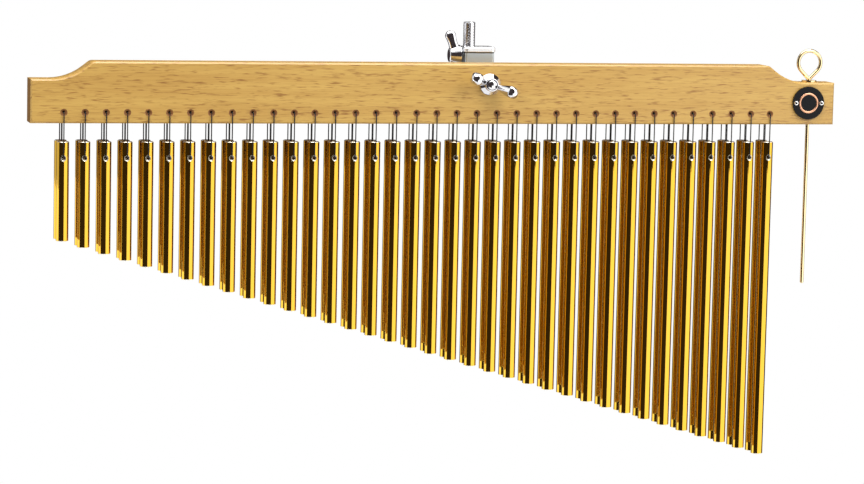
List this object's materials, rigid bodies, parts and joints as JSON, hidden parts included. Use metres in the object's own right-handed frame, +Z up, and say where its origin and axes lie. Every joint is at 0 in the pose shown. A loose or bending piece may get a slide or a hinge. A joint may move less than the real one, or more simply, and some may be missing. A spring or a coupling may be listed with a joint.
{
  "type": "bar chimes",
  "caption": "Wooden bar with two rows of graded gold-finished rods hung on cord loops, a ring-handled striker and a wing-nut clamp with a threaded stand post.",
  "frame": {"origin": "on the stand post's axis, at the top of the clamp block", "axes": "+X along the bar towards the long rods, +Y from the front to the clamp side, +Z up the post"},
  "size_m": [0.6466, 0.0633, 0.3464],
  "materials": {
    "wood": "satin varnish",
    "rod_gold": "polished gold tone",
    "cord": "smoky nylon line",
    "chrome": "polished",
    "brass": "polished",
    "badge": "gloss black",
    "pin_steel": "bright"
  },
  "bodies": {
    "clamp": {"clamp_block": "chrome", "clamp_bolt": "chrome", "threaded_post": "chrome", "washer": "chrome"},
    "bar": {"bar": "wood", "front_cords": "cord", "back_cords": "cord", "badge": "badge", "badge_pins": "pin_steel", "striker_collar": "brass"},
    "striker": {"striker": "brass"},
    "wing_nut": {"wing_nut": "chrome"},
    "wing_screw": {"wing_screw": "chrome"},
    "chime_pair_01": {"chime_pair_01": "rod_gold"},
    "chime_pair_02": {"chime_pair_02": "rod_gold"},
    "chime_pair_03": {"chime_pair_03": "rod_gold"},
    "chime_pair_04": {"chime_pair_04": "rod_gold"},
    "chime_pair_05": {"chime_pair_05": "rod_gold"},
    "chime_pair_06": {"chime_pair_06": "rod_gold"},
    "chime_pair_07": {"chime_pair_07": "rod_gold"},
    "chime_pair_08": {"chime_pair_08": "rod_gold"},
    "chime_pair_09": {"chime_pair_09": "rod_gold"},
    "chime_pair_10": {"chime_pair_10": "rod_gold"},
    "chime_pair_11": {"chime_pair_11": "rod_gold"},
    "chime_pair_12": {"chime_pair_12": "rod_gold"},
    "chime_pair_13": {"chime_pair_13": "rod_gold"},
    "chime_pair_14": {"chime_pair_14": "rod_gold"},
    "chime_pair_15": {"chime_pair_15": "rod_gold"},
    "chime_pair_16": {"chime_pair_16": "rod_gold"},
    "chime_pair_17": {"chime_pair_17": "rod_gold"},
    "chime_pair_18": {"chime_pair_18": "rod_gold"},
    "chime_pair_19": {"chime_pair_19": "rod_gold"},
    "chime_pair_20": {"chime_pair_20": "rod_gold"},
    "chime_pair_21": {"chime_pair_21": "rod_gold"},
    "chime_pair_22": {"chime_pair_22": "rod_gold"},
    "chime_pair_23": {"chime_pair_23": "rod_gold"},
    "chime_pair_24": {"chime_pair_24": "rod_gold"},
    "chime_pair_25": {"chime_pair_25": "rod_gold"},
    "chime_pair_26": {"chime_pair_26": "rod_gold"},
    "chime_pair_27": {"chime_pair_27": "rod_gold"},
    "chime_pair_28": {"chime_pair_28": "rod_gold"},
    "chime_pair_29": {"chime_pair_29": "rod_gold"},
    "chime_pair_30": {"chime_pair_30": "rod_gold"},
    "chime_pair_31": {"chime_pair_31": "rod_gold"},
    "chime_pair_32": {"chime_pair_32": "rod_gold"},
    "chime_pair_33": {"chime_pair_33": "rod_gold"},
    "chime_pair_34": {"chime_pair_34": "rod_gold"},
    "chime_pair_35": {"chime_pair_35": "rod_gold"},
    "chime_pair_36": {"chime_pair_36": "rod_gold"}
  },
  "joints": [
    {"name": "striker_lift", "type": "slide", "parent": "bar", "child": "striker", "axis": [0, 0, 1], "range_m": [0, 0.17]},
    {"name": "wing_nut_turn", "type": "hinge", "parent": "clamp", "child": "wing_nut", "pos_m": [0.0088, -0.03345, -0.0277], "axis": [0, 1, 0], "continuous": true},
    {"name": "wing_screw_turn", "type": "hinge", "parent": "clamp", "child": "wing_screw", "pos_m": [-0.0066, 0, -0.0071], "axis": [1, 0, 0], "range_deg": [-20, 70]},
    {"name": "bar_tilt", "type": "hinge", "parent": "clamp", "child": "bar", "pos_m": [0.0088, -0.02075, -0.0277], "axis": [0, -1, 0], "range_deg": [-8, 8]},
    {"name": "chime_pair_01_swing", "type": "hinge", "parent": "bar", "child": "chime_pair_01", "pos_m": [-0.32469, -0.02075, -0.08545], "axis": [0, -1, 0], "range_deg": [-20, 5.55]},
    {"name": "chime_pair_02_swing", "type": "hinge", "parent": "bar", "child": "chime_pair_02", "pos_m": [-0.30849, -0.02075, -0.08545], "axis": [0, -1, 0], "range_deg": [-5.14, 5.14]},
    {"name": "chime_pair_03_swing", "type": "hinge", "parent": "bar", "child": "chime_pair_03", "pos_m": [-0.29229, -0.02075, -0.08545], "axis": [0, -1, 0], "range_deg": [-4.78, 4.78]},
    {"name": "chime_pair_04_swing", "type": "hinge", "parent": "bar", "child": "chime_pair_04", "pos_m": [-0.27609, -0.02075, -0.08545], "axis": [0, -1, 0], "range_deg": [-4.48, 4.48]},
    {"name": "chime_pair_05_swing", "type": "hinge", "parent": "bar", "child": "chime_pair_05", "pos_m": [-0.25989, -0.02075, -0.08545], "axis": [0, -1, 0], "range_deg": [-4.2, 4.2]},
    {"name": "chime_pair_06_swing", "type": "hinge", "parent": "bar", "child": "chime_pair_06", "pos_m": [-0.24369, -0.02075, -0.08545], "axis": [0, -1, 0], "range_deg": [-3.96, 3.96]},
    {"name": "chime_pair_07_swing", "type": "hinge", "parent": "bar", "child": "chime_pair_07", "pos_m": [-0.22749, -0.02075, -0.08545], "axis": [0, -1, 0], "range_deg": [-3.75, 3.75]},
    {"name": "chime_pair_08_swing", "type": "hinge", "parent": "bar", "child": "chime_pair_08", "pos_m": [-0.21129, -0.02075, -0.08545], "axis": [0, -1, 0], "range_deg": [-3.56, 3.56]},
    {"name": "chime_pair_09_swing", "type": "hinge", "parent": "bar", "child": "chime_pair_09", "pos_m": [-0.19509, -0.02075, -0.08545], "axis": [0, -1, 0], "range_deg": [-3.38, 3.38]},
    {"name": "chime_pair_10_swing", "type": "hinge", "parent": "bar", "child": "chime_pair_10", "pos_m": [-0.17889, -0.02075, -0.08545], "axis": [0, -1, 0], "range_deg": [-3.23, 3.23]},
    {"name": "chime_pair_11_swing", "type": "hinge", "parent": "bar", "child": "chime_pair_11", "pos_m": [-0.16269, -0.02075, -0.08545], "axis": [0, -1, 0], "range_deg": [-3.08, 3.08]},
    {"name": "chime_pair_12_swing", "type": "hinge", "parent": "bar", "child": "chime_pair_12", "pos_m": [-0.14649, -0.02075, -0.08545], "axis": [0, -1, 0], "range_deg": [-2.95, 2.95]},
    {"name": "chime_pair_13_swing", "type": "hinge", "parent": "bar", "child": "chime_pair_13", "pos_m": [-0.13029, -0.02075, -0.08545], "axis": [0, -1, 0], "range_deg": [-2.83, 2.83]},
    {"name": "chime_pair_14_swing", "type": "hinge", "parent": "bar", "child": "chime_pair_14", "pos_m": [-0.11409, -0.02075, -0.08545], "axis": [0, -1, 0], "range_deg": [-2.72, 2.72]},
    {"name": "chime_pair_15_swing", "type": "hinge", "parent": "bar", "child": "chime_pair_15", "pos_m": [-0.09789, -0.02075, -0.08545], "axis": [0, -1, 0], "range_deg": [-2.62, 2.62]},
    {"name": "chime_pair_16_swing", "type": "hinge", "parent": "bar", "child": "chime_pair_16", "pos_m": [-0.08169, -0.02075, -0.08545], "axis": [0, -1, 0], "range_deg": [-2.52, 2.52]},
    {"name": "chime_pair_17_swing", "type": "hinge", "parent": "bar", "child": "chime_pair_17", "pos_m": [-0.06549, -0.02075, -0.08545], "axis": [0, -1, 0], "range_deg": [-2.43, 2.43]},
    {"name": "chime_pair_18_swing", "type": "hinge", "parent": "bar", "child": "chime_pair_18", "pos_m": [-0.04929, -0.02075, -0.08545], "axis": [0, -1, 0], "range_deg": [-2.35, 2.35]},
    {"name": "chime_pair_19_swing", "type": "hinge", "parent": "bar", "child": "chime_pair_19", "pos_m": [-0.03309, -0.02075, -0.08545], "axis": [0, -1, 0], "range_deg": [-2.27, 2.27]},
    {"name": "chime_pair_20_swing", "type": "hinge", "parent": "bar", "child": "chime_pair_20", "pos_m": [-0.01689, -0.02075, -0.08545], "axis": [0, -1, 0], "range_deg": [-2.2, 2.2]},
    {"name": "chime_pair_21_swing", "type": "hinge", "parent": "bar", "child": "chime_pair_21", "pos_m": [-0.00069, -0.02075, -0.08545], "axis": [0, -1, 0], "range_deg": [-2.13, 2.13]},
    {"name": "chime_pair_22_swing", "type": "hinge", "parent": "bar", "child": "chime_pair_22", "pos_m": [0.01551, -0.02075, -0.08545], "axis": [0, -1, 0], "range_deg": [-2.07, 2.07]},
    {"name": "chime_pair_23_swing", "type": "hinge", "parent": "bar", "child": "chime_pair_23", "pos_m": [0.03171, -0.02075, -0.08545], "axis": [0, -1, 0], "range_deg": [-2.01, 2.01]},
    {"name": "chime_pair_24_swing", "type": "hinge", "parent": "bar", "child": "chime_pair_24", "pos_m": [0.04791, -0.02075, -0.08545], "axis": [0, -1, 0], "range_deg": [-1.95, 1.95]},
    {"name": "chime_pair_25_swing", "type": "hinge", "parent": "bar", "child": "chime_pair_25", "pos_m": [0.06411, -0.02075, -0.08545], "axis": [0, -1, 0], "range_deg": [-1.9, 1.9]},
    {"name": "chime_pair_26_swing", "type": "hinge", "parent": "bar", "child": "chime_pair_26", "pos_m": [0.08031, -0.02075, -0.08545], "axis": [0, -1, 0], "range_deg": [-1.85, 1.85]},
    {"name": "chime_pair_27_swing", "type": "hinge", "parent": "bar", "child": "chime_pair_27", "pos_m": [0.09651, -0.02075, -0.08545], "axis": [0, -1, 0], "range_deg": [-1.8, 1.8]},
    {"name": "chime_pair_28_swing", "type": "hinge", "parent": "bar", "child": "chime_pair_28", "pos_m": [0.11271, -0.02075, -0.08545], "axis": [0, -1, 0], "range_deg": [-1.76, 1.76]},
    {"name": "chime_pair_29_swing", "type": "hinge", "parent": "bar", "child": "chime_pair_29", "pos_m": [0.12891, -0.02075, -0.08545], "axis": [0, -1, 0], "range_deg": [-1.71, 1.71]},
    {"name": "chime_pair_30_swing", "type": "hinge", "parent": "bar", "child": "chime_pair_30", "pos_m": [0.14511, -0.02075, -0.08545], "axis": [0, -1, 0], "range_deg": [-1.67, 1.67]},
    {"name": "chime_pair_31_swing", "type": "hinge", "parent": "bar", "child": "chime_pair_31", "pos_m": [0.16131, -0.02075, -0.08545], "axis": [0, -1, 0], "range_deg": [-1.63, 1.63]},
    {"name": "chime_pair_32_swing", "type": "hinge", "parent": "bar", "child": "chime_pair_32", "pos_m": [0.17751, -0.02075, -0.08545], "axis": [0, -1, 0], "range_deg": [-1.59, 1.59]},
    {"name": "chime_pair_33_swing", "type": "hinge", "parent": "bar", "child": "chime_pair_33", "pos_m": [0.19371, -0.02075, -0.08545], "axis": [0, -1, 0], "range_deg": [-1.56, 1.56]},
    {"name": "chime_pair_34_swing", "type": "hinge", "parent": "bar", "child": "chime_pair_34", "pos_m": [0.20991, -0.02075, -0.08545], "axis": [0, -1, 0], "range_deg": [-1.52, 1.52]},
    {"name": "chime_pair_35_swing", "type": "hinge", "parent": "bar", "child": "chime_pair_35", "pos_m": [0.22611, -0.02075, -0.08545], "axis": [0, -1, 0], "range_deg": [-1.49, 1.49]},
    {"name": "chime_pair_36_swing", "type": "hinge", "parent": "bar", "child": "chime_pair_36", "pos_m": [0.24231, -0.02075, -0.08545], "axis": [0, -1, 0], "range_deg": [-1.46, 15]}
  ]
}
